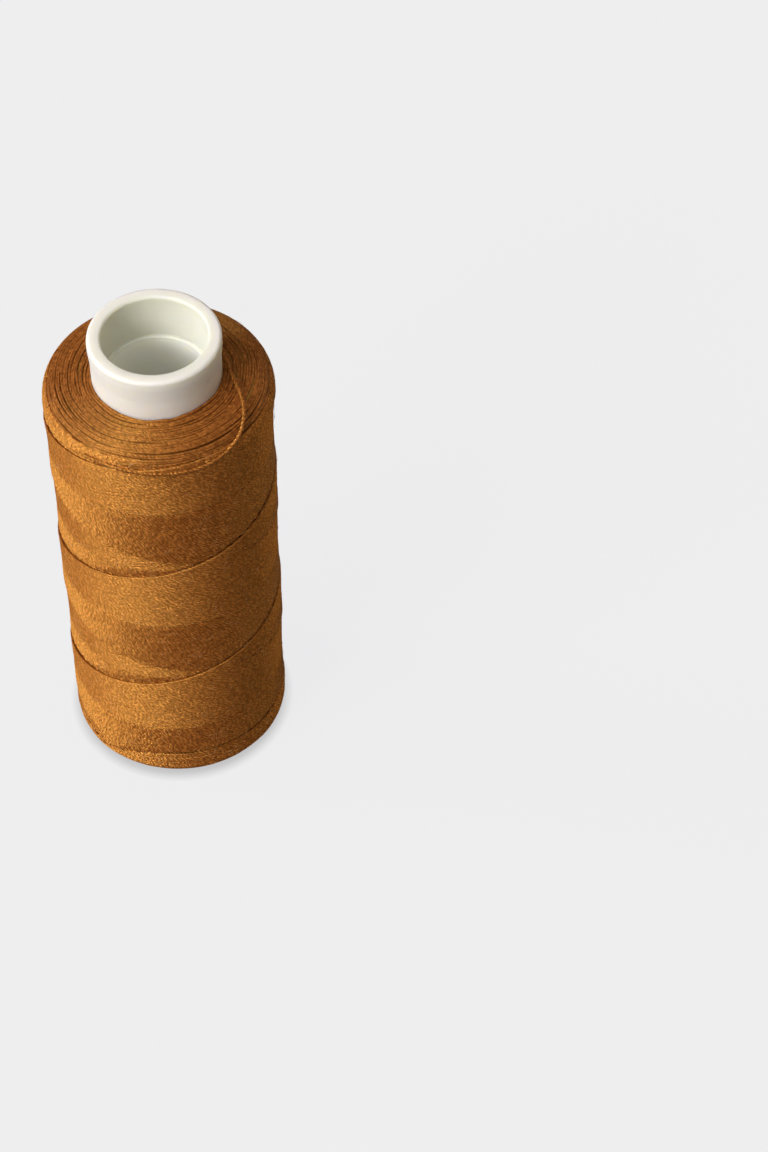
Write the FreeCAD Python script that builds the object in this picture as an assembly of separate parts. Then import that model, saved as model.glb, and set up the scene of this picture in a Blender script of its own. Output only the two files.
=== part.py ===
"""A spool of sewing thread, standing on end.

One straight moulded tube carries one long thread, cross-wound into a round package. The tube stands
out of the package as a collar at the top and as a low foot at the bottom. Lengths are millimetres,
+Z is up along the tube's axis, and the origin is the centre of the foot, where the spool stands.
"""
import FreeCAD, Part
import math
import os

Vector = FreeCAD.Vector
UP = Vector(0, 0, 1)
ORIGIN = Vector(0, 0, 0)
FULL_TURN = 2 * math.pi
FULL_TURN_DEG = 360

# Core tube
tube_height = 70.0
tube_outer_radius = 8.1
end_wall = 1.5            # wall of the wide bore at each end
step_width = 0.5          # ledge between an end bore and the spindle bore
top_step_depth = 6.4
bottom_step_depth = 6.4
lip_flare = 0.2           # how far the lip stands out from the collar
lip_height = 1.4
lip_taper_height = 2.2
rim_rounding = 0.45
mouth_rounding = 0.3      # inner edge of each end bore
ledge_rounding = 0.12
rounding_limit = 0.4      # a rounding takes at most this share of its wall or ledge

# Thread
thread_diameter = 0.3

# Wound package, measured over its outer turns
winding_radius = 14.2
collar_height = 6.3       # tube showing above the package
foot_height = 0.55        # tube showing below the package
shoulder_rounding = 2.9
base_rounding = 1.2
winding_on_tube_clearance = 0.05
turns_clearance = 0.05    # between the wound body and the turns lying on it

# Outer layer of turns, drawn wider apart than the real ones
side_pitch = 3.2
end_pitch = 0.78
lead_bend_radius = 0.45   # where the thread turns in to the tube at each end
lead_angle_deg = 148.0    # direction in which the top lead leaves the collar
turn_sense = -1           # clockwise from above, so the side turns rise to the right
quarters = 4              # each turn is laid out in quarter turns
tangent_step = 0.001      # of a turn, for reading a direction off the winding line
gap_samples = 4           # points on each arc, for measuring the least gap

# Loose end: over the shoulder at the front, up across the top and round behind the collar
loose_end_points = [
    (-8.48, -11.67, 61.15),
    (-5.20, -13.54, 61.08),
    (-1.57, -14.47, 60.85),
    (2.23, -14.43, 60.55),
    (5.76, -13.44, 60.55),
    (8.68, -11.69, 61.20),
    (10.47, -9.77, 62.35),
    (11.05, -7.70, 63.55),
    (10.85, -5.30, 64.20),
    (10.02, -2.95, 64.34),
    (9.18, -0.75, 64.24),
    (8.66, 1.55, 64.08),
    (7.61, 4.05, 64.04),
    (5.72, 6.58, 64.03),
    (2.76, 8.48, 64.02),
    (-0.98, 9.30, 64.01),
    (-4.52, 8.87, 64.00),
]
arc_share = 0.45          # of the shorter run, taken by the arc at each point

# Sizes that follow from the ones above
thread_radius = thread_diameter / 2
bore_radius = tube_outer_radius - end_wall
spindle_bore_radius = bore_radius - step_width
lip_radius = tube_outer_radius + lip_flare
package_top = tube_height - collar_height
package_bottom = foot_height
layer_depth = thread_diameter + turns_clearance


def point(radius, height):
    """A point of a half section, in the plane through the axis."""
    return Vector(radius, 0, height)


def revolved(edges):
    """The solid that a closed half section sweeps round the axis."""
    return Part.Face(Part.Wire(edges)).revolve(ORIGIN, UP, FULL_TURN_DEG)


def closed_lines(points):
    """Straight edges from point to point and back to the first."""
    following = points[1:] + points[:1]
    return [Part.LineSegment(a, b).toShape() for a, b in zip(points, following)]


def ring_edges(solid, radius, height):
    """The circular edges of this radius at this height."""
    def matches(edge):
        curve = edge.Curve
        same_radius = isinstance(curve, Part.Circle) and math.isclose(curve.Radius, radius, abs_tol=1e-6)
        return same_radius and math.isclose(curve.Center.z, height, abs_tol=1e-6)
    return [edge for edge in solid.Edges if matches(edge)]


def corner_arc(start, corner, end):
    """The arc that leaves start towards corner and arrives at end, the two being equally far from it."""
    middle = (start + end) * 0.5
    half_turn = (corner - start).getAngle(end - start)
    share = math.cos(half_turn) / (1 + math.cos(half_turn))
    return Part.Arc(start, middle + (corner - middle) * share, end).toShape()


def swept_thread(edges):
    """A round thread along the edges, with flat ends."""
    path = Part.Wire(edges)
    first = edges[0]
    start = first.valueAt(first.FirstParameter)
    heading = first.tangentAt(first.FirstParameter)
    section = Part.Wire(Part.makeCircle(thread_radius, start, heading))
    solid = path.makePipeShell([section], True, False)
    return Part.Solid(solid) if solid.ShapeType != "Solid" else solid


def core_tube():
    """The moulded tube: a long spindle bore, a wider bore at each end and a lip round the top."""
    lip_foot = tube_height - lip_height
    section = [
        point(bore_radius, tube_height),
        point(lip_radius, tube_height),
        point(lip_radius, lip_foot),
        point(tube_outer_radius, lip_foot - lip_taper_height),
        point(tube_outer_radius, 0),
        point(bore_radius, 0),
        point(bore_radius, bottom_step_depth),
        point(spindle_bore_radius, bottom_step_depth),
        point(spindle_bore_radius, tube_height - top_step_depth),
        point(bore_radius, tube_height - top_step_depth),
    ]
    tube = revolved(closed_lines(section))
    outer_rims = ring_edges(tube, lip_radius, tube_height) + ring_edges(tube, tube_outer_radius, 0)
    tube = tube.makeFillet(min(rim_rounding, rounding_limit * end_wall), outer_rims)
    mouths = ring_edges(tube, bore_radius, tube_height) + ring_edges(tube, bore_radius, 0)
    tube = tube.makeFillet(min(mouth_rounding, rounding_limit * end_wall), mouths)
    ledges = ring_edges(tube, spindle_bore_radius, bottom_step_depth)
    ledges += ring_edges(tube, spindle_bore_radius, tube_height - top_step_depth)
    return tube.makeFillet(min(ledge_rounding, rounding_limit * step_width), ledges).Solids[0]


def wound_body():
    """All the thread under the outer layer, as one ring with rounded shoulders."""
    inner = tube_outer_radius + winding_on_tube_clearance
    outer = winding_radius - layer_depth
    top = package_top - layer_depth
    bottom = package_bottom + layer_depth
    shoulder = shoulder_rounding - layer_depth
    base = base_rounding - layer_depth
    corners = {
        "top inner": point(inner, top),
        "top": point(outer - shoulder, top),
        "shoulder": point(outer, top - shoulder),
        "base": point(outer, bottom + base),
        "bottom": point(outer - base, bottom),
        "bottom inner": point(inner, bottom),
    }
    edges = [
        Part.LineSegment(corners["top inner"], corners["top"]).toShape(),
        corner_arc(corners["top"], point(outer, top), corners["shoulder"]),
        Part.LineSegment(corners["shoulder"], corners["base"]).toShape(),
        corner_arc(corners["base"], point(outer, bottom), corners["bottom"]),
        Part.LineSegment(corners["bottom"], corners["bottom inner"]).toShape(),
        Part.LineSegment(corners["bottom inner"], corners["top inner"]).toShape(),
    ]
    return revolved(edges)


class WindingLine:
    """The line that the outer layer's thread follows, from the collar out over the top, down the
    side and in again under the package, as a count of turns."""

    def __init__(self):
        self.first_radius = lead_reach()
        self.top = package_top - thread_radius
        self.bottom = package_bottom + thread_radius
        self.side = winding_radius - thread_radius
        self.shoulder = shoulder_rounding - thread_radius
        self.base = base_rounding - thread_radius
        top_run = self.side - self.shoulder - self.first_radius
        side_run = self.top - self.bottom - self.shoulder - self.base
        bottom_run = self.side - self.base - self.first_radius
        quarter = math.pi / 2
        self.stretches = [top_run, quarter * self.shoulder, side_run, quarter * self.base, bottom_run]
        self.top_loops = max(1, round(top_run / end_pitch))
        self.side_loops = max(1, round(sum(self.stretches[1:4]) / side_pitch))
        self.base_loops = max(1, round(bottom_run / side_pitch))
        self.loops = self.top_loops + self.side_loops + self.base_loops

    def section_point(self, distance):
        """Radius and height at a distance along the section, from the collar."""
        top_run, shoulder_run, side_run, base_run, bottom_run = self.stretches
        if distance <= top_run:
            return self.first_radius + distance, self.top
        distance -= top_run
        if distance <= shoulder_run:
            angle = distance / self.shoulder
            centre = self.side - self.shoulder, self.top - self.shoulder
            return centre[0] + self.shoulder * math.sin(angle), centre[1] + self.shoulder * math.cos(angle)
        distance -= shoulder_run
        if distance <= side_run:
            return self.side, self.top - self.shoulder - distance
        distance -= side_run
        if distance <= base_run:
            angle = distance / self.base
            centre = self.side - self.base, self.bottom + self.base
            return centre[0] + self.base * math.cos(angle), centre[1] - self.base * math.sin(angle)
        distance -= base_run
        return self.side - self.base - distance, self.bottom

    def distance(self, turns):
        """Distance along the section after this many turns."""
        top_run = self.stretches[0]
        middle_run = sum(self.stretches[1:4])
        if turns <= self.top_loops:
            return top_run * turns / self.top_loops
        turns -= self.top_loops
        if turns <= self.side_loops:
            return top_run + middle_run * turns / self.side_loops
        turns -= self.side_loops
        return top_run + middle_run + self.stretches[4] * turns / self.base_loops

    def angle(self, turns):
        """Direction from the axis after this many turns."""
        return math.radians(lead_angle_deg) + turn_sense * (lead_swing() + FULL_TURN * turns)

    def place(self, turns):
        """The point of the line after this many turns."""
        radius, height = self.section_point(self.distance(turns))
        angle = self.angle(turns)
        return Vector(radius * math.cos(angle), radius * math.sin(angle), height)

    def heading(self, turns):
        """The direction of travel there, level and square to the radius at the two ends."""
        if turns <= 0 or turns >= self.loops:
            angle = self.angle(turns)
            return Vector(-math.sin(angle), math.cos(angle), 0) * turn_sense
        ahead = self.place(turns + tangent_step)
        behind = self.place(turns - tangent_step)
        return (ahead - behind).normalize()


def lead_start():
    """Radius at which a lead's straight bit ends and its bend starts."""
    return tube_outer_radius + winding_on_tube_clearance + thread_diameter


def lead_turn():
    """Angle of a lead's bend, which ends square to the radius."""
    return math.atan2(lead_start(), -lead_bend_radius)


def lead_end_offsets():
    """Where a lead's bend ends: how far out, and how far round."""
    turn = lead_turn()
    out = lead_start() + lead_bend_radius * math.sin(turn)
    return out, lead_bend_radius * (1 - math.cos(turn))


def lead_reach():
    """Radius at which a lead joins the turns."""
    return math.hypot(*lead_end_offsets())


def lead_swing():
    """Angle round the axis that a lead takes up."""
    out, around = lead_end_offsets()
    return math.atan2(around, out)


def lead(angle, height, sense):
    """The thread's end, from the tube's wall straight out for one diameter and round into the turns."""
    radial = Vector(math.cos(angle), math.sin(angle), 0)
    around = Vector(-math.sin(angle), math.cos(angle), 0) * sense
    base = UP * height
    wall = base + radial * (tube_outer_radius + winding_on_tube_clearance)
    start = base + radial * lead_start()
    corner = start + radial * (lead_bend_radius * math.tan(lead_turn() / 2))
    out, offset = lead_end_offsets()
    end = base + radial * out + around * offset
    return wall, start, corner, end


def biarc(start, start_heading, end, end_heading):
    """Two arcs that meet smoothly, from start to end with the given directions."""
    chord = end - start
    headings = start_heading + end_heading
    slack = 2 * (1 - start_heading.dot(end_heading))
    along = chord.dot(headings)
    reach = (math.sqrt(along * along + slack * chord.dot(chord)) - along) / slack
    first_corner = start + start_heading * reach
    second_corner = end - end_heading * reach
    joint = (first_corner + second_corner) * 0.5
    return [corner_arc(start, first_corner, joint), corner_arc(joint, second_corner, end)]


def least_gap(edges):
    """The least clear distance between a thread's own loops, from points along it."""
    samples = []
    travelled = 0.0
    for edge in edges:
        span = edge.LastParameter - edge.FirstParameter
        for step in range(gap_samples):
            where = edge.valueAt(edge.FirstParameter + span * step / gap_samples)
            samples.append((travelled + edge.Length * step / gap_samples, where))
        travelled += edge.Length
    half_loop = math.pi * tube_outer_radius
    distances = [
        (a.sub(b)).Length
        for index, (run_a, a) in enumerate(samples)
        for run_b, b in samples[index + 1:]
        if run_b - run_a > half_loop
    ]
    return min(distances) - thread_diameter


def outer_turns():
    """The outer layer: one unbroken thread from the collar's wall to the foot's wall."""
    line = WindingLine()
    wall, start, corner, end = lead(math.radians(lead_angle_deg), line.top, turn_sense)
    edges = [Part.LineSegment(wall, start).toShape(), corner_arc(start, corner, end)]
    stops = [index / quarters for index in range(line.loops * quarters + 1)]
    for here, there in zip(stops, stops[1:]):
        edges += biarc(line.place(here), line.heading(here), line.place(there), line.heading(there))
    foot_angle = line.angle(line.loops) + turn_sense * lead_swing()
    wall, start, corner, end = lead(foot_angle, line.bottom, -turn_sense)
    edges += [corner_arc(end, corner, start), Part.LineSegment(start, wall).toShape()]
    print("outer turns:", line.top_loops, "+", line.side_loops, "+", line.base_loops, "loops")
    print("outer turns: least gap to itself %.3f mm" % least_gap(edges))
    return checked_thread("outer turns", edges)


def loose_end():
    """The free end: straight runs joined by tangent arcs."""
    points = [Vector(*values) for values in loose_end_points]
    edges = []
    radii = []
    last = points[0]
    for before, here, after in zip(points, points[1:], points[2:]):
        back, ahead = before - here, after - here
        reach = arc_share * min(back.Length, ahead.Length)
        arc_start = here + back.normalize() * reach
        arc_end = here + ahead.normalize() * reach
        half_turn = (math.pi - back.getAngle(ahead)) / 2
        radii.append(reach / math.tan(half_turn))
        edges += [Part.LineSegment(last, arc_start).toShape(), corner_arc(arc_start, here, arc_end)]
        last = arc_end
    edges.append(Part.LineSegment(last, points[-1]).toShape())
    print("loose end: arc radii", " ".join("%.1f" % radius for radius in radii), "mm")
    return checked_thread("loose end", edges)


def checked_thread(name, edges):
    """The swept thread, with its length and its volume against section times length printed."""
    solid = swept_thread(edges)
    length = sum(edge.Length for edge in edges)
    expected = math.pi * thread_radius ** 2 * length
    print("%s: length %.1f mm, volume %.4f of section times length" % (name, length, solid.Volume / expected))
    return solid


def main():
    os.makedirs("parts", exist_ok=True)
    makers = {
        "core_tube": core_tube,
        "wound_body": wound_body,
        "outer_turns": outer_turns,
        "loose_end": loose_end,
    }
    for name, make in makers.items():
        solid = make()
        box = solid.BoundBox
        print("%s: %s, valid %s, %d solid, volume %.1f mm3, z %.2f to %.2f" % (
            name, solid.ShapeType, solid.isValid(), len(solid.Solids), solid.Volume, box.ZMin, box.ZMax))
        solid.exportStep(os.path.join("parts", name + ".step"))


main()
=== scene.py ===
"""A standing spool of golden-brown sewing thread: finishes, laid thread, loose end, light and camera.

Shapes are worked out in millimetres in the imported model's frame and scaled to metres where a mesh is
made. The package is laid as a real one is: passes of thread rise and fall round the tube, each pass
beside the one before, and at every place the newest pass lies on top.

Three measures place a thread on the package. The turn counts turns round the axis, from the right. The
station is the height on the side, and runs on over the shoulder and under the base. The lift is the
distance outwards from the package's surface.
"""
import math

import bpy
import numpy as np
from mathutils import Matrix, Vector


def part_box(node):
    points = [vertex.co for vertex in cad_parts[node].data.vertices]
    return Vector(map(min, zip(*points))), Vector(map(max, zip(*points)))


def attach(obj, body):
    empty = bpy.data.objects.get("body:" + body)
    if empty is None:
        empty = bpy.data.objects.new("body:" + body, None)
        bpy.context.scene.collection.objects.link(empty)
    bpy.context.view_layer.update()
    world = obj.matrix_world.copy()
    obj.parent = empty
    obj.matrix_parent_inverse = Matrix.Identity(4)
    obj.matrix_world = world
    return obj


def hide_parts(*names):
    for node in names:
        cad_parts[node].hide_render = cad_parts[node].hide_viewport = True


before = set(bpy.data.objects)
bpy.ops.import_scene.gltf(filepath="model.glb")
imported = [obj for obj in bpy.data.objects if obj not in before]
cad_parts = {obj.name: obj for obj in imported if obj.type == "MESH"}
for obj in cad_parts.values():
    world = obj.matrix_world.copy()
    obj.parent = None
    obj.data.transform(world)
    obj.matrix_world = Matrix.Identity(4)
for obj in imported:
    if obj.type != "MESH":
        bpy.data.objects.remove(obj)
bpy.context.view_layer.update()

MM = 0.001
TURN = 2 * math.pi
BODY = "root"
random = np.random.default_rng(7)

# The package's outer shape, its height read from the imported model
turns_low, turns_high = (np.array(corner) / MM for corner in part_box("outer_turns"))
package_top = turns_high[2]
package_bottom = turns_low[2]
package_radius = 14.35          # over the newest turns
collar_radius = 8.1
shoulder_rounding = 2.9
base_rounding = 1.2
shoulder_bulge = 0.22           # the package is a little fuller where the passes turn back
shoulder_bulge_spread = 2.6
base_bulge = 0.08
base_bulge_height = 3.0
base_bulge_spread = 2.0

# The thread
thread_diameter = 0.3
thread_radius = thread_diameter / 2
wound_radius = 0.17             # a soft wound thread spreads into the gap beside it
loop_radius = 0.175             # and more where it lies loosely over the ends
loose_fullness = 0.08           # a free thread is fuller than one wound tight
ply_relief = 0.16               # by which its two plies stand out, as a share of its radius
twist_length = 1.25             # of one turn of the two plies round each other
fibre_slant_deg = -21.0         # of the fibres to the thread, from its twist
strand_sides = 6
longest_offset = 400.0          # of a strand's twist from the next one's
loose_sides = 12
loose_step = 0.12               # between points along the loose end

# The passes on the side
passes = 70                     # rising, and as many falling, until the pattern closes
rise = 21.4                     # climb of one turn
tip_turn = -64 / 360            # where the newest rising and falling passes cross at the front
tip_height = 42.9
rising_phase = tip_turn - tip_height / rise
falling_phase = tip_turn + tip_height / rise
segments_per_turn = 78
top_turning = 60.0              # where a rising pass starts to turn back
base_turning = 2.5
early_turning = 1.5             # how much lower the newest passes turn back
early_passes = 9                # about how many of them do
top_level_wave = 0.25           # of the levels of turning back, from pass to pass
base_level_wave = 0.2
top_level_scatter = 0.15        # of each pass by itself
base_level_scatter = 0.04
end_run = 0.3                   # of a turn, from a pass's end to where it lies freely
side_wobble = 0.035
depth_wobble = 0.006
slowest_wave = 0.4              # of a wobble, in waves to a turn
fastest_wave = 3.0

# Ages and depths of the passes. An age is a share of the pattern: 0 is the newest pass, 1 the oldest.
layer_growth = 0.36             # how much lower the oldest pass on the surface lies
rising_lead = 0.09              # by which rising passes stay on top for longer
cover_run = 0.05                # difference in age over which a pass goes under a newer one
cover_start = 0.3               # how far along that run it is beside one as old as itself
under_depth = 0.30              # how far a thread dives to go under another
newest_depth = 0.52             # and to go under the newest, beside which a furrow stays open
oldest_age = 0.9                # beyond which a pass lies beside the newest
dive_age = 0.962                # where the dive under the newest starts
dive_run = 0.03
dive_end_run = 0.02             # over which it ends among the newest passes

# The level turns at the base, which cover the lower ends of the passes
level_height = 4.6
level_start_turn = -0.375       # at the left of the front
level_start_drop = 3.2          # how much lower the first of them starts
level_start_run = 0.14          # of a turn
level_end_drops = (             # where the last of them comes down, over what share of a turn, and how far
    (0.76, 0.18, 2.0),
    (0.95, 0.05, 1.2),
)
level_margin = 0.28             # above the level turns, where the passes start to go under them
level_run = 0.35
level_depth = 0.8

# The rings of threads on the end faces
ring_pitch = 0.33               # between threads side by side
base_ring_pitch = 0.29
ring_clearance = 0.18           # of the innermost rings from the tube
collar_ring_clearance = 0.20    # and of one more round the collar
rings_past_side = 1.0           # least way over the shoulder to the outermost ring
base_rings_top = 4.5
tube_clearance = 0.17           # between a thread's centre line and the tube
shared_sway = 0.10              # of all the rings, in and out
ring_sway = 0.09                # of each ring by itself
base_ring_sway = 0.02
ring_wave = 0.04                # of a ring, up and down
sway_samples = 720

# The loops that make a ring
loop_segments = 110             # to a turn
loop_spacing = 0.14             # of a turn, from start to start
shortest_loop = 0.10            # half its length, as a share of a turn
longest_loop = 0.17
loop_shift = 0.03               # sideways, of the whole loop
loop_drift = 0.08               # sideways, from its middle to its ends
base_loop_drift = 0.02
loop_depth = 0.10
loop_depth_spread = 0.07
loop_end_depth = 0.5
loop_end_share = 0.4            # of half a loop, over which its end goes down
base_loop_lift = 0.04
base_loop_drop = 0.9            # past the level turns' edge
base_loop_margin = 0.10         # before that edge, where the drop starts
base_loop_run = 0.3
follow_end = 3.0                # over the shoulder, where loops stop following the passes under them
follow_run = 2.0
collar_climb = 0.3              # of the innermost threads, up the collar
collar_climb_run = 0.9

# The fibres that stand out
fuzz_count = 4200
fuzz_radius = 0.011
fuzz_sides = 4
fuzz_points = 6
fuzz_length = 0.42              # times a random number of about 2
fuzz_heading = 1.2              # spread of a fibre's heading, in radians
fuzz_curl = 2.4                 # and of the change in it from root to tip
fuzz_root = -0.20
fuzz_arch = (0.10, 0.16)        # height of its arch over the root
fuzz_extra_arch = 0.05          # on average, much more for a few

# The thread under the layers that show
core_depth = 0.58
core_top_rise = 0.16            # less deep under the loops
core_rise_start = 1.5           # over the shoulder
core_rise_run = 2.0
core_clearance = 0.02           # from the tube
core_sides = 128

# Where the tube's finish changes
bore_shade_radii = (6.7, 7.6)    # from the wide bore's painted shade to the outside's colour
ledge_heights = (63.8, 63.0)    # from the wide bore's painted shade to the spindle bore's painted light
dent_heights = (68.8, 69.6)     # from the smooth collar to the dented rim

# Colours of the thread, for its light fibres, its dark ones and the grooves between its plies, where the
# dark groove colour is painted shade
thread_light = (0.80, 0.258, 0.054, 1)
thread_dark = (0.30, 0.070, 0.012, 1)
thread_groove_shade = (0.15, 0.024, 0.003, 1)
# The looped thread on the top face: the thread's colours painted darker, as painted shade there
shaded_loop_light = (0.60, 0.20, 0.044, 1)
shaded_loop_dark = (0.17, 0.046, 0.008, 1)
loop_groove_shade = (0.15, 0.038, 0.006, 1)
loose_light = (0.60, 0.20, 0.044, 1)
loose_dark = (0.27, 0.072, 0.013, 1)
fuzz_light = (0.86, 0.55, 0.28, 1)
fuzz_dark = (0.60, 0.29, 0.10, 1)
sheen_colour = (0.96, 0.56, 0.116, 1)

# Colours of the tube, the first two clouded between two tones. The wide bore's are darker and yellower
# than the outside's, as painted shade, and the spindle bore's paler, as painted light
outside_tones = ((0.735, 0.705, 0.645, 1), (0.765, 0.74, 0.69, 1))
shaded_bore_tones = ((0.685, 0.68, 0.585, 1), (0.715, 0.715, 0.63, 1))
lit_spindle_bore_colour = (0.91, 0.905, 0.82, 1)

# Stage
floor_reach = 3000.0
floor_colour = (0.22, 0.215, 0.205, 1)
floor_glow = (0.985, 0.985, 1.0, 1)
fill_colour = (1.0, 0.80, 0.62, 1)
background_colour = (0.85, 0.85, 0.86, 1)
edge_lamp_colour = (1.0, 0.72, 0.54)
lamps = {                       # strength, then spread, azimuth and elevation in degrees, then colour
    "key": (0.95, 20, -60, 32),
    "high": (0.5, 24, -60, 52),
    "side": (0.85, 20, -100, 32),
    "front": (1.78, 20, -38, 32),
    "low": (0.28, 20, 0, 32),
    "top": (0.8, 60, -40, 82),
    "edge": (0.4, 40, 130, 25, edge_lamp_colour),
}

# Camera, as fitted to the photograph
camera_place = (27.98, -266.9, 337.6)
camera_pitch_deg = 49.52
focal_length_px = 3100.0
image_height_px = 1152
sensor_mm = 36.0


def frac(value):
    """The part past the whole number below."""
    return value - np.floor(value)


def smooth(value):
    """A smooth step from 0 to 1."""
    t = np.clip(value, 0, 1)
    return t * t * (3 - 2 * t)


def hump(value, middle, spread):
    """A smooth hump of height 1."""
    return np.exp(-((value - middle) / spread) ** 2)


def lengths_along(points):
    """Length along a line from its first point to each of its points."""
    runs = np.linalg.norm(np.diff(points, axis=0), axis=1)
    return np.concatenate([[0], np.cumsum(runs)])


# The package's section

side_top = package_top - shoulder_rounding
side_base = package_bottom + base_rounding
shoulder_run = shoulder_rounding * math.pi / 2
base_run = base_rounding * math.pi / 2
top_face_start = side_top + shoulder_run
base_face_start = side_base - base_run
top_face_radius = package_radius - shoulder_rounding
base_face_radius = package_radius - base_rounding
collar_station = top_face_start + top_face_radius - collar_radius
foot_station = base_face_start - (base_face_radius - collar_radius)


def section(station, lift):
    """Radius, height and outward direction on the package's section."""
    station = np.asarray(station, float)
    over = np.clip(station - side_top, 0, shoulder_run) / shoulder_rounding
    under = np.clip(side_base - station, 0, base_run) / base_rounding
    inward = np.clip(station - top_face_start, 0, None) + np.clip(base_face_start - station, 0, None)
    out_r = np.cos(over) * np.cos(under)
    out_z = np.sin(over) - np.sin(under)
    radius = package_radius - shoulder_rounding * (1 - np.cos(over)) - base_rounding * (1 - np.cos(under))
    height = np.clip(station, side_base, side_top)
    height = height + shoulder_rounding * np.sin(over) - base_rounding * np.sin(under)
    return radius - inward + lift * out_r, height + lift * out_z, out_r, out_z


def on_package(turn, station, lift):
    """Points on the package and their outward directions."""
    radius, height, out_r, out_z = section(station, lift)
    cosine, sine = np.cos(TURN * turn), np.sin(TURN * turn)
    points = np.stack([radius * cosine, radius * sine, height], -1)
    outward = np.stack([out_r * cosine, out_r * sine, out_z], -1)
    return points, outward


# Meshes

def mesh_piece(name, points, quads, uv=None, material=None):
    """A smooth mesh object from points in millimetres and four-cornered faces."""
    mesh = bpy.data.meshes.new(name)
    mesh.vertices.add(len(points))
    mesh.vertices.foreach_set("co", (points * MM).astype(np.float32).ravel())
    mesh.loops.add(quads.size)
    mesh.polygons.add(len(quads))
    mesh.polygons.foreach_set("loop_start", np.arange(0, quads.size, 4, dtype=np.int32))
    mesh.loops.foreach_set("vertex_index", quads.astype(np.int32).ravel())
    mesh.update(calc_edges=True)
    mesh.validate()
    mesh.polygons.foreach_set("use_smooth", np.ones(len(mesh.polygons), bool))
    if uv is not None:
        layer = mesh.uv_layers.new(name="Strand")
        layer.data.foreach_set("uv", uv.astype(np.float32).ravel())
    piece = bpy.data.objects.new(name, mesh)
    bpy.context.scene.collection.objects.link(piece)
    if material:
        mesh.materials.append(material)
    return piece


def tube(points, outward, radius, sides, start_length=0.0):
    """Points, faces and strand coordinates of one closed tube along a line of points. The strand
    coordinates are the length along the tube in millimetres and the share of the way round it."""
    along = np.gradient(points, axis=0)
    along /= np.linalg.norm(along, axis=1, keepdims=True)
    across = np.cross(along, outward)
    across /= np.linalg.norm(across, axis=1, keepdims=True)
    up = np.cross(across, along)
    angles = TURN * np.arange(sides) / sides
    ring = np.cos(angles)[None, :, None] * up[:, None] + np.sin(angles)[None, :, None] * across[:, None]
    verts = (points[:, None] + radius * ring).reshape(-1, 3)
    rows, columns = np.meshgrid(np.arange(len(points) - 1), np.arange(sides), indexing="ij")
    following = (columns + 1) % sides
    quads = np.stack([rows * sides + columns, rows * sides + following,
                      (rows + 1) * sides + following, (rows + 1) * sides + columns], -1).reshape(-1, 4)
    length = start_length + lengths_along(points)
    here, there = length[rows], length[rows + 1]
    left, right = columns / sides, (columns + 1) / sides
    uv = np.stack([np.stack([here, left], -1), np.stack([here, right], -1),
                   np.stack([there, right], -1), np.stack([there, left], -1)], -2).reshape(-1, 4, 2)
    first = np.array([[0, side + 2, side + 1, side] for side in range(1, sides - 2, 2)])
    last = first[:, ::-1] + (len(points) - 1) * sides
    caps = np.concatenate([first, last])
    cap_uv = np.zeros((len(caps), 4, 2))
    cap_uv[:, :, 0] = np.repeat([length[0], length[-1]], len(first))[:, None]
    return verts, np.concatenate([quads, caps]), np.concatenate([uv, cap_uv])


def strands_piece(name, lines, radius, sides, material):
    """One piece of many closed tubes. Each line is points and outward directions, and each has its
    twist at a place of its own."""
    verts, quads, uvs = [], [], []
    count = 0
    starts = random.uniform(0, longest_offset, len(lines))
    for (points, outward), start in zip(lines, starts):
        tube_verts, tube_quads, tube_uv = tube(points, outward, radius, sides, start)
        verts.append(tube_verts)
        quads.append(tube_quads + count)
        uvs.append(tube_uv)
        count += len(tube_verts)
    return mesh_piece(name, np.concatenate(verts), np.concatenate(quads), np.concatenate(uvs), material)


# Wobbles

def wander(turn, amount, waves=4):
    """A slow random wobble along a strand."""
    total = np.zeros_like(turn)
    for _ in range(waves):
        total += np.sin(TURN * (turn * random.uniform(slowest_wave, fastest_wave) + random.uniform(0, 1)))
    return total * amount / math.sqrt(waves)


def ripple(turn, waves, amount):
    """A random wavy line that closes on itself after one turn, from a few whole numbers of waves."""
    total = np.zeros_like(turn)
    for wave, phase in zip(waves, random.uniform(0, 1, len(waves))):
        total += np.sin(TURN * (wave * turn + phase))
    return total * amount / math.sqrt(len(waves))


# The laid thread

def end_bulge(station):
    """How much fuller the package is near its ends."""
    at_shoulder = shoulder_bulge * hump(station, top_turning, shoulder_bulge_spread)
    return at_shoulder + base_bulge * hump(station, base_bulge_height, base_bulge_spread)


def turning_levels():
    """The levels at which the passes start to turn back, at the top and at the base."""
    order = np.arange(passes) / passes
    top = top_turning - early_turning * np.exp(-order * passes / early_passes)
    top += ripple(order, (3, 5, 8), top_level_wave)
    base = base_turning + ripple(order, (2, 5, 9), base_level_wave)
    top += random.normal(0, top_level_scatter, passes)
    base += random.normal(0, base_level_scatter, passes)
    return top, base


def turning(level, sense):
    """Half the turn that a strand takes to turn back when it starts to at this level."""
    if sense > 0:
        return frac(falling_phase - rising_phase - 2 * level / rise) / 2
    return frac(rising_phase - falling_phase + 2 * level / rise) / 2


def level_edge(turn):
    """Height to which the passes come down: over the last level turns, but to the foot at the left."""
    past = frac(turn - level_start_turn)
    ease = 1 - np.clip(past / level_start_run, 0, 1)
    edge = level_height - level_start_drop * ease ** 2
    for start, run, drop in level_end_drops:
        edge = edge - drop * smooth((past - start) / run)
    return edge


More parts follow.
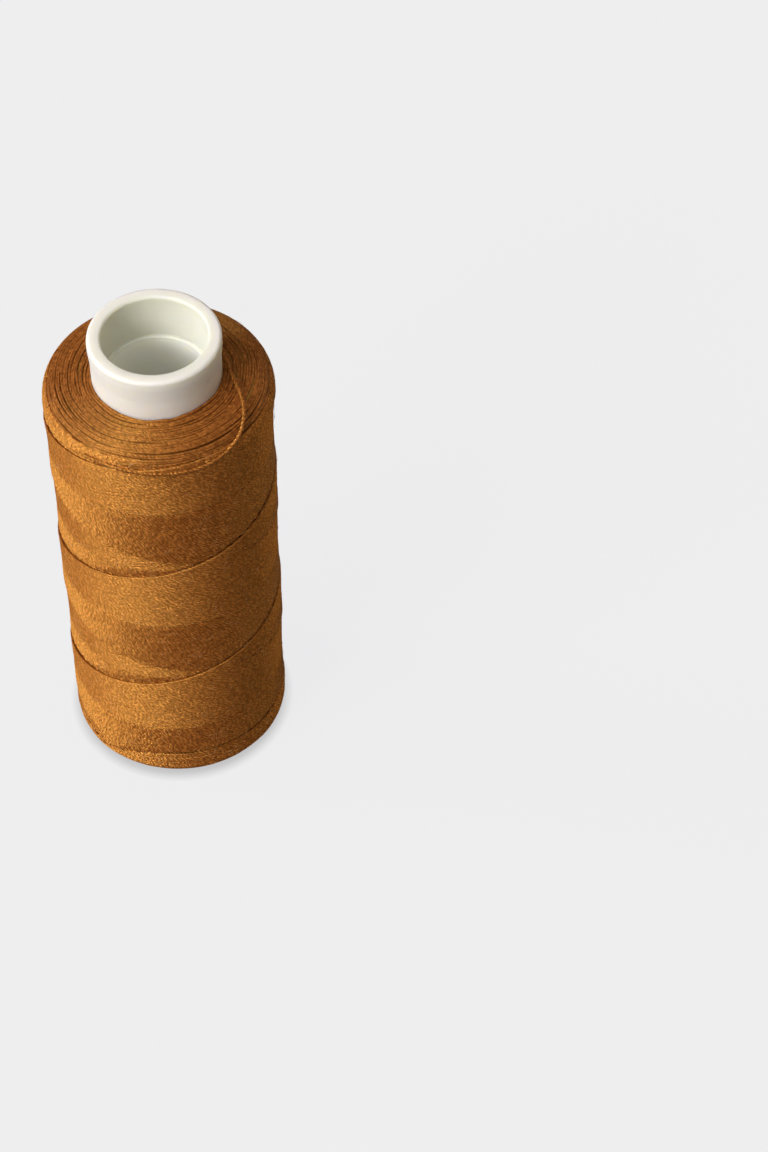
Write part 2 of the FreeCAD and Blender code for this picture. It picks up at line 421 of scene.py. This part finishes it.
def pass_line(sense, index, high, low):
    """One pass between its two levels of turning back: sense 1 rises with the turn, -1 falls."""
    age = (index + (0.5 if sense > 0 else 1.0)) / passes
    phase = (rising_phase if sense > 0 else falling_phase) + index / passes
    high_half, low_half = turning(high, 1), turning(low, -1)
    start, end = low / rise - low_half, high / rise + high_half
    t = np.linspace(start, end, int(round((end - start) * segments_per_turn)) + 1)
    past_high = np.clip(t - high / rise, 0, None)
    past_low = np.clip(low / rise - t, 0, None)
    station = t * rise - rise * past_high ** 2 / (2 * high_half) + rise * past_low ** 2 / (2 * low_half)
    turn = phase + sense * t
    inner = smooth((t - start) / end_run) * smooth((end - t) / end_run)
    station = station + inner * wander(t, side_wobble)
    other = falling_phase if sense > 0 else rising_phase
    other_age = frac(turn + sense * station / rise - other)
    lead = sense * rising_lead
    covered = smooth((age - other_age - lead) / cover_run + cover_start)
    diving = smooth((other_age - dive_age) / dive_run) * smooth((age - lead) / dive_end_run + 0.5)
    lay = -layer_growth * age
    below = np.where(other_age > oldest_age, -newest_depth, -layer_growth * other_age - under_depth)
    under = np.maximum(covered, diving) * inner
    lift = lay + (np.minimum(lay, below) - lay) * under + wander(t, depth_wobble) + end_bulge(station)
    lift = lift - level_depth * smooth((level_edge(turn) + level_margin - station) / level_run)
    return on_package(turn, station, lift - wound_radius)


def pass_lines(sense, levels):
    """All the rising or all the falling passes."""
    return [pass_line(sense, index, high, low) for index, (high, low) in enumerate(zip(*levels))]


def newest_lay(turn, station):
    """How far the newest pass at a place lies below the newest of all."""
    rising_age = frac(turn - station / rise - rising_phase)
    falling_age = frac(turn + station / rise - falling_phase)
    return layer_growth * np.minimum(rising_age, falling_age)


def end_threads(stations, climb=0.0):
    """The threads on an end face: side by side in wavy rings, each ring made of the loops in which
    passes turn back. A loop comes up out of the package, runs for part of a turn and goes down again."""
    lines = []
    fine = np.arange(0, 1, 1 / sway_samples)
    shared = ripple(fine, (1, 2, 3), shared_sway)
    for station in stations:
        on_base = station < side_top / 2
        if on_base:
            sway = ripple(fine, (2, 5, 7), base_ring_sway)
        else:
            sway = shared + ripple(fine, (2, 3, 5, 8), ring_sway)
        wave = ripple(fine, (2, 3, 6, 9), ring_wave)
        drift = base_loop_drift if on_base else loop_drift
        for start in np.arange(0, 1, loop_spacing) + random.uniform(0, 1):
            half = random.uniform(shortest_loop, longest_loop)
            t = np.linspace(-1, 1, int(2 * half * loop_segments) + 2)
            turn = start + half * t
            aside = random.normal(0, loop_shift) + random.normal(0, drift) * t
            place = station + np.interp(frac(turn), fine, sway) + aside
            place = np.clip(place, foot_station + tube_clearance, collar_station - tube_clearance)
            near_collar = np.clip(1 - (collar_station - place) / collar_climb_run, 0, 1)
            lift = np.interp(frac(turn), fine, wave) - loop_depth - random.uniform(0, loop_depth_spread)
            if on_base:
                past_edge = smooth((place - level_edge(turn) + base_loop_margin) / base_loop_run)
                lift = lift + base_loop_lift - base_loop_drop * past_edge
            else:
                near_side = smooth((side_top + follow_end - place) / follow_run)
                lift = lift + end_bulge(place) - newest_lay(turn, place) * near_side
            ends = loop_end_depth * smooth((np.abs(t) - (1 - loop_end_share)) / loop_end_share)
            lines.append(on_package(turn, place, lift - ends + climb * near_collar ** 2 - loop_radius))
    return lines


def fuzz_fibres():
    """Fine ends of fibres that stand out of the spun thread, curling in all directions."""
    lines = []
    t = np.linspace(0, 1, fuzz_points)
    for _ in range(fuzz_count):
        station = random.uniform(side_base, side_top + 1)
        length = random.gamma(2.0, fuzz_length)
        heading = random.normal(0, fuzz_heading)
        angle = heading + random.normal(0, fuzz_curl) * t
        step = length / (len(t) - 1)
        along = np.cumsum(np.cos(angle)) * step
        up = np.cumsum(np.sin(angle)) * step
        arch = random.uniform(*fuzz_arch) + random.exponential(fuzz_extra_arch)
        lift = fuzz_root + arch * np.sin(math.pi * t * random.uniform(0.5, 1.0))
        turn = random.uniform(0, 1) + along / (TURN * package_radius)
        lines.append(on_package(turn, station + up, lift - newest_lay(turn, station) + end_bulge(station)))
    return lines


def core_piece(material):
    """The thread under the layers that show, seen only down the gaps between them."""
    inner = collar_radius + core_clearance
    stations = np.concatenate([np.linspace(foot_station, side_base, 24),
                               np.linspace(side_base, side_top, 60)[1:],
                               np.linspace(side_top, collar_station, 30)[1:]])
    under_loops = smooth((stations - side_top - core_rise_start) / core_rise_run)
    radius, height, _, _ = section(stations, -core_depth + core_top_rise * under_loops)
    radius = np.concatenate([[inner], np.maximum(radius, inner + 0.01), [inner]])
    height = np.concatenate([[height[0]], height, [height[-1]]])
    angle = np.arange(core_sides) / core_sides * TURN
    points = np.stack([radius[:, None] * np.cos(angle), radius[:, None] * np.sin(angle),
                       np.repeat(height[:, None], core_sides, 1)], -1).reshape(-1, 3)
    rows, columns = np.meshgrid(np.arange(len(radius)), np.arange(core_sides), indexing="ij")
    next_row, following = (rows + 1) % len(radius), (columns + 1) % core_sides
    quads = np.stack([rows * core_sides + columns, rows * core_sides + following,
                      next_row * core_sides + following, next_row * core_sides + columns], -1).reshape(-1, 4)
    return mesh_piece("inner_thread", points, quads, np.zeros((len(quads), 4, 2)), material)


# The loose end

def route_points(route):
    """Points along the smooth curve that has the route as its control points, in millimetres."""
    curve = bpy.data.curves.new("route", "CURVE")
    curve.dimensions = "3D"
    curve.resolution_u = 10
    spline = curve.splines.new("NURBS")
    spline.points.add(len(route) - 1)
    for control, place in zip(spline.points, route):
        control.co = (*place, 1)
    spline.order_u = 3
    spline.use_endpoint_u = True
    holder = bpy.data.objects.new("route", curve)
    bpy.context.scene.collection.objects.link(holder)
    bpy.context.view_layer.update()
    mesh = bpy.data.meshes.new_from_object(holder)
    points = np.array([vertex.co[:] for vertex in mesh.vertices]) / MM
    bpy.data.objects.remove(holder)
    bpy.data.meshes.remove(mesh)
    return points


def spaced(points, step):
    """The same line with points a step apart."""
    length = lengths_along(points)
    wanted = np.linspace(0, length[-1], int(length[-1] / step) + 1)
    return np.stack([np.interp(wanted, length, points[:, axis]) for axis in range(3)], -1)


def twisted_thread(name, points, material):
    """A free thread whose two plies can be seen twisting round each other."""
    outward = np.tile([0.0, 0.0, 1.0], (len(points), 1))
    verts, quads, uv = tube(points, outward, thread_radius + loose_fullness, loose_sides)
    verts = verts.reshape(len(points), loose_sides, 3)
    length = lengths_along(points)
    angles = TURN * np.arange(loose_sides) / loose_sides
    shape = 1 + ply_relief * np.cos(2 * (angles[None] - TURN * length[:, None] / twist_length))
    verts = points[:, None] + (verts - points[:, None]) * shape[..., None]
    return mesh_piece(name, verts.reshape(-1, 3), quads, uv, material)


# Materials

class Nodes:
    """A short way to add shader nodes to a material or a world and link them."""

    def __init__(self, holder):
        self.holder = holder
        holder.use_nodes = True
        self.tree = holder.node_tree
        self.tree.nodes.clear()

    def add(self, kind, inputs=None, **settings):
        node = self.tree.nodes.new(kind)
        for key, value in settings.items():
            setattr(node, key, value)
        for key, value in (inputs or {}).items():
            self.set(node, key, value)
        return node

    def set(self, node, key, value):
        socket = node.inputs[key]
        if isinstance(value, bpy.types.NodeSocket):
            self.tree.links.new(value, socket)
        else:
            socket.default_value = value

    def math(self, operation, *values):
        node = self.add("ShaderNodeMath", operation=operation)
        for index, value in enumerate(values):
            self.set(node, index, value)
        return node.outputs[0]

    def vector(self, **parts):
        return self.add("ShaderNodeCombineXYZ", parts).outputs[0]

    def noise(self, place, scale, detail):
        return self.add("ShaderNodeTexNoise", {"Vector": place, "Scale": scale, "Detail": detail}).outputs[0]

    def mix(self, factor, first, second):
        return self.add("ShaderNodeMix", {0: factor, 6: first, 7: second}, data_type="RGBA").outputs[2]

    def remap(self, value, low, high, to_low=0.0, to_high=1.0):
        return self.add("ShaderNodeMapRange", {0: value, 1: low, 2: high, 3: to_low, 4: to_high}).outputs[0]

    def between(self, value, places):
        """From 0 at the first place to 1 at the second, both in millimetres."""
        return self.remap(value, places[0] * MM, places[1] * MM)

    def pale_share(self, camera_share, mirror_share):
        """How much of the pale background a ray sees: the camera's, and those of mirrors and glass."""
        path = self.add("ShaderNodeLightPath").outputs
        mirrored = self.math("MAXIMUM", path["Is Glossy Ray"], path["Is Transmission Ray"])
        return self.math("MAXIMUM", self.math("MULTIPLY", path["Is Camera Ray"], camera_share),
                         self.math("MULTIPLY", mirrored, mirror_share))

    def finish(self, shader, output="ShaderNodeOutputMaterial"):
        self.set(self.add(output), "Surface", shader.outputs[0])
        return self.holder


def material_nodes(name):
    """The empty node tree of a new material."""
    return Nodes(bpy.data.materials.new(name))


def thread_material(name, light, dark, groove_shade, slant_deg=fibre_slant_deg, silk=1.0, grit=1.0, mottle=0.2,
                    flank_shade=0.5):
    """Spun two-ply thread: slanting plies, fine fibres and a silky, coloured sheen. Silk is the strength
    of the sheen, grit that of the fine specks, mottle that of slow changes along the thread, and the last
    argument how far painted shade darkens its flanks. The grooves between its plies get painted shade too."""
    n = material_nodes(name)
    strand = n.add("ShaderNodeSeparateXYZ", {"Vector": n.add("ShaderNodeUVMap", uv_map="Strand").outputs[0]})
    along, around = strand.outputs["X"], strand.outputs["Y"]
    place = n.add("ShaderNodeTexCoord").outputs["Object"]

    slip = n.noise(n.vector(X=along), scale=0.6, detail=1.0)
    twist = n.math("SUBTRACT", n.math("MULTIPLY", along, 1 / twist_length), around)
    twist = n.math("ADD", twist, n.math("MULTIPLY", slip, 1.4))
    ply = n.math("ABSOLUTE", n.math("SINE", n.math("MULTIPLY", twist, TURN)))

    slant = math.tan(math.radians(-slant_deg)) / (TURN * thread_radius)
    across = n.math("SUBTRACT", n.math("MULTIPLY", along, slant), around)
    fibre_place = n.vector(X=n.math("MULTIPLY", along, 0.6), Y=n.math("MULTIPLY", across, 5.0))
    fibres = n.noise(fibre_place, scale=2.4, detail=4.0)
    slow = n.noise(n.vector(X=n.math("MULTIPLY", along, 0.25)), scale=1.0, detail=2.0)
    specks = n.noise(place, scale=2000.0, detail=2.0)

    tone = n.mix(n.math("MULTIPLY_ADD", specks, 5.0 * grit, 0.5 - 2.5 * grit), dark, light)
    tone = n.mix(n.math("MULTIPLY", fibres, 0.5), tone, dark)
    tone = n.mix(n.math("MULTIPLY_ADD", slow, 3.0 * mottle, 0.15 - 1.5 * mottle), tone, dark)
    # Painted shade: the grooves between the plies are darkened towards the groove colour
    furrow_shade = n.math("MULTIPLY", n.math("SUBTRACT", 1.0, n.math("POWER", ply, 0.8)), 1.15 * grit)
    colour = n.mix(furrow_shade, tone, groove_shade)
    # Painted shade: the flanks of each strand are darkened towards the groove colour
    flank = n.math("ABSOLUTE", n.math("SINE", n.math("MULTIPLY", around, TURN)))
    colour = n.mix(n.remap(flank, 0.45, 0.95, 0.0, flank_shade), colour, groove_shade)

    height = n.math("ADD", ply, n.math("MULTIPLY", fibres, 0.5))
    height = n.math("ADD", height, n.math("MULTIPLY", specks, 2.2))
    bump = n.add("ShaderNodeBump", {"Height": height, "Strength": 1.0, "Distance": 0.06 * grit * MM})
    rough = n.math("MULTIPLY_ADD", specks, -0.6 * grit, 0.46 + 0.3 * grit)
    tangent = n.add("ShaderNodeTangent", direction_type="UV_MAP", uv_map="Strand")
    return n.finish(n.add("ShaderNodeBsdfPrincipled", {
        "Base Color": colour, "Roughness": rough, "Normal": bump.outputs[0], "Metallic": 0.22 * silk,
        "IOR": 2.5, "Specular IOR Level": 0.85 * silk, "Specular Tint": sheen_colour,
        "Tangent": tangent.outputs[0], "Anisotropic": 0.97,
        "Anisotropic Rotation": 0.25 + slant_deg / 360}))


def fuzz_material():
    """Pale fine fibres."""
    n = material_nodes("fuzz")
    tone = n.noise(n.add("ShaderNodeTexCoord").outputs["Object"], scale=300.0, detail=1.0)
    return n.finish(n.add("ShaderNodeBsdfPrincipled", {
        "Base Color": n.mix(tone, fuzz_dark, fuzz_light), "Roughness": 0.6, "Specular IOR Level": 0.2}))


def tube_material():
    """Ivory moulded plastic, slightly milky, with a fine moulding texture and dents in its rim. The wide
    bore is painted a little darker and yellower than the outside, as painted shade, and the spindle bore
    paler, as painted light."""
    n = material_nodes("ivory_plastic")
    place = n.add("ShaderNodeTexCoord").outputs["Object"]
    axes = n.add("ShaderNodeSeparateXYZ", {"Vector": place}).outputs
    level = n.vector(X=axes["X"], Y=axes["Y"])
    reach = n.add("ShaderNodeVectorMath", {0: level}, operation="LENGTH").outputs["Value"]
    grain = n.noise(place, scale=1600.0, detail=3.0)
    cloud = n.noise(place, scale=160.0, detail=2.0)
    dents = n.noise(place, scale=520.0, detail=2.0)

    # Painted shade darkens and yellows the wide bore, and painted light makes the spindle bore paler
    bore = n.mix(n.between(axes["Z"], ledge_heights), n.mix(cloud, *shaded_bore_tones), lit_spindle_bore_colour)
    colour = n.mix(n.between(reach, bore_shade_radii), bore, n.mix(cloud, *outside_tones))

    rim_dents = n.math("MULTIPLY", dents, n.between(axes["Z"], dent_heights))
    height = n.math("ADD", n.math("MULTIPLY", grain, 0.4), cloud)
    height = n.math("ADD", height, n.math("MULTIPLY", rim_dents, 6.0))
    bump = n.add("ShaderNodeBump", {"Height": height, "Strength": 0.25, "Distance": 0.05 * MM})
    rough = n.math("ADD", 0.55, n.math("MULTIPLY", grain, 0.2))
    return n.finish(n.add("ShaderNodeBsdfPrincipled", {
        "Base Color": colour, "Roughness": rough, "Normal": bump.outputs[0],
        "Specular IOR Level": 0.35, "Subsurface Weight": 1.0,
        "Subsurface Radius": (1.0, 0.97, 0.7), "Subsurface Scale": 1.8 * MM}))


def floor_material():
    """A pale sweep that shows evenly and keeps a soft shadow. Its glow is darkened close to the spool, a
    painted contact shadow.
    """
    n = material_nodes("pale_floor")
    # Painted shadow: the glow dims where the spool is near
    near = n.add("ShaderNodeAmbientOcclusion", {"Distance": 1.9 * MM}).outputs["AO"]
    painted_contact_shadow = n.remap(near, 0.45, 0.95, 0.66, 1.0)
    diffuse = n.add("ShaderNodeBsdfDiffuse", {"Color": floor_colour})
    glow = n.add("ShaderNodeEmission", {"Color": floor_glow, "Strength": painted_contact_shadow})
    share = n.pale_share(camera_share=0.825, mirror_share=0.12)
    return n.finish(n.add("ShaderNodeMixShader", {0: share, 1: diffuse.outputs[0], 2: glow.outputs[0]}))


# Stage

def make_camera():
    """The photograph's camera, level from side to side and looking down."""
    data = bpy.data.cameras.new("camera")
    data.sensor_fit = "AUTO"
    data.sensor_width = sensor_mm
    data.lens = focal_length_px / image_height_px * sensor_mm
    data.clip_start = 0.01
    data.clip_end = 10.0
    camera = bpy.data.objects.new("camera", data)
    camera.location = [value * MM for value in camera_place]
    camera.rotation_euler = (math.radians(90 - camera_pitch_deg), 0, 0)
    bpy.context.scene.collection.objects.link(camera)
    bpy.context.scene.camera = camera


def make_lamp(name, strength, spread_deg, azimuth_deg, elevation_deg, colour=(1, 1, 1)):
    """A soft far light. Azimuth 0 shines from the front, 90 from the right."""
    data = bpy.data.lights.new(name, "SUN")
    data.energy = strength
    data.angle = math.radians(spread_deg)
    data.color = colour
    lamp = bpy.data.objects.new(name, data)
    lamp.rotation_euler = (math.radians(90 - elevation_deg), 0, math.radians(azimuth_deg))
    bpy.context.scene.collection.objects.link(lamp)


def make_world():
    """A weak warm fill for the object, and the floor's pale tone where the camera looks past it."""
    n = Nodes(bpy.data.worlds.new("world"))
    fill = n.add("ShaderNodeBackground", {"Color": fill_colour, "Strength": 0.07})
    pale = n.add("ShaderNodeBackground", {"Color": background_colour, "Strength": 1.0})
    share = n.pale_share(camera_share=1.0, mirror_share=0.08)
    mixed = n.add("ShaderNodeMixShader", {0: share, 1: fill.outputs[0], 2: pale.outputs[0]})
    bpy.context.scene.world = n.finish(mixed, "ShaderNodeOutputWorld")


def make_stage():
    """The floor that the spool stands on, the lamps and the background."""
    corners = np.array([[-1, -1, 0], [1, -1, 0], [1, 1, 0], [-1, 1, 0]]) * floor_reach
    floor = mesh_piece("floor", corners, np.array([[0, 1, 2, 3]]), material=floor_material())
    for name, setting in lamps.items():
        make_lamp(name, *setting)
    make_world()
    bpy.context.scene.view_settings.view_transform = "Standard"


# Making

make_camera()

# The loose end's route as in the part's source, but in metres
loose_end_points = [
    (-0.00848, -0.01167, 0.06115),
    (-0.00520, -0.01354, 0.06108),
    (-0.00157, -0.01447, 0.06085),
    (0.00223, -0.01443, 0.06055),
    (0.00576, -0.01344, 0.06055),
    (0.00868, -0.01169, 0.06120),
    (0.01047, -0.00977, 0.06235),
    (0.01105, -0.00770, 0.06355),
    (0.01085, -0.00530, 0.06420),
    (0.01002, -0.00295, 0.06434),
    (0.00918, -0.00075, 0.06424),
    (0.00866, 0.00155, 0.06408),
    (0.00761, 0.00405, 0.06404),
    (0.00572, 0.00658, 0.06403),
    (0.00276, 0.00848, 0.06402),
    (-0.00098, 0.00930, 0.06401),
    (-0.00452, 0.00887, 0.06400),
]
loose_finish = thread_material("loose_thread", loose_light, loose_dark, loop_groove_shade, silk=0.6)
loose_route = spaced(route_points(loose_end_points), loose_step)
loose_thread = twisted_thread("loose_thread", loose_route, loose_finish)
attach(loose_thread, BODY)
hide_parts("loose_end")

levels = turning_levels()
wound_finish = thread_material("wound_thread", thread_light, thread_dark, thread_groove_shade)
rising = strands_piece("rising_thread", pass_lines(1, levels), wound_radius, strand_sides, wound_finish)
falling = strands_piece("falling_thread", pass_lines(-1, levels), wound_radius, strand_sides, wound_finish)

# The top face's loops take the darker colours, painted shade
loop_finish = thread_material("looped_thread", shaded_loop_light, shaded_loop_dark, loop_groove_shade, slant_deg=-6.0,
                              silk=0.45, grit=0.55, mottle=0.9)
base_finish = thread_material("base_thread", thread_light, thread_dark, thread_groove_shade, slant_deg=-12.0,
                              grit=1.1, flank_shade=0.35)
top_rings = np.arange(collar_station - ring_clearance, side_top + rings_past_side, -ring_pitch)
top_rings = np.concatenate([[collar_station - collar_ring_clearance], top_rings])
base_rings = np.arange(foot_station + ring_clearance, base_rings_top, base_ring_pitch)
top_loops = strands_piece("top_loops", end_threads(top_rings, collar_climb), loop_radius, strand_sides,
                          loop_finish)
base_loops = strands_piece("base_loops", end_threads(base_rings), loop_radius, strand_sides, base_finish)
fuzz = strands_piece("fuzz", fuzz_fibres(), fuzz_radius, fuzz_sides, fuzz_material())
# The inner thread is coloured all over with the dark groove colour: painted shade down the gaps
inner_thread = core_piece(thread_material("inner_thread", loop_groove_shade, loop_groove_shade, loop_groove_shade))

for piece in (rising, falling, top_loops, base_loops, inner_thread, fuzz):
    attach(piece, BODY)
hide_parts("wound_body")
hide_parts("outer_turns")

tube_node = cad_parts["core_tube"]
tube_node.data.materials.clear()
tube_node.data.materials.append(tube_material())

make_stage()
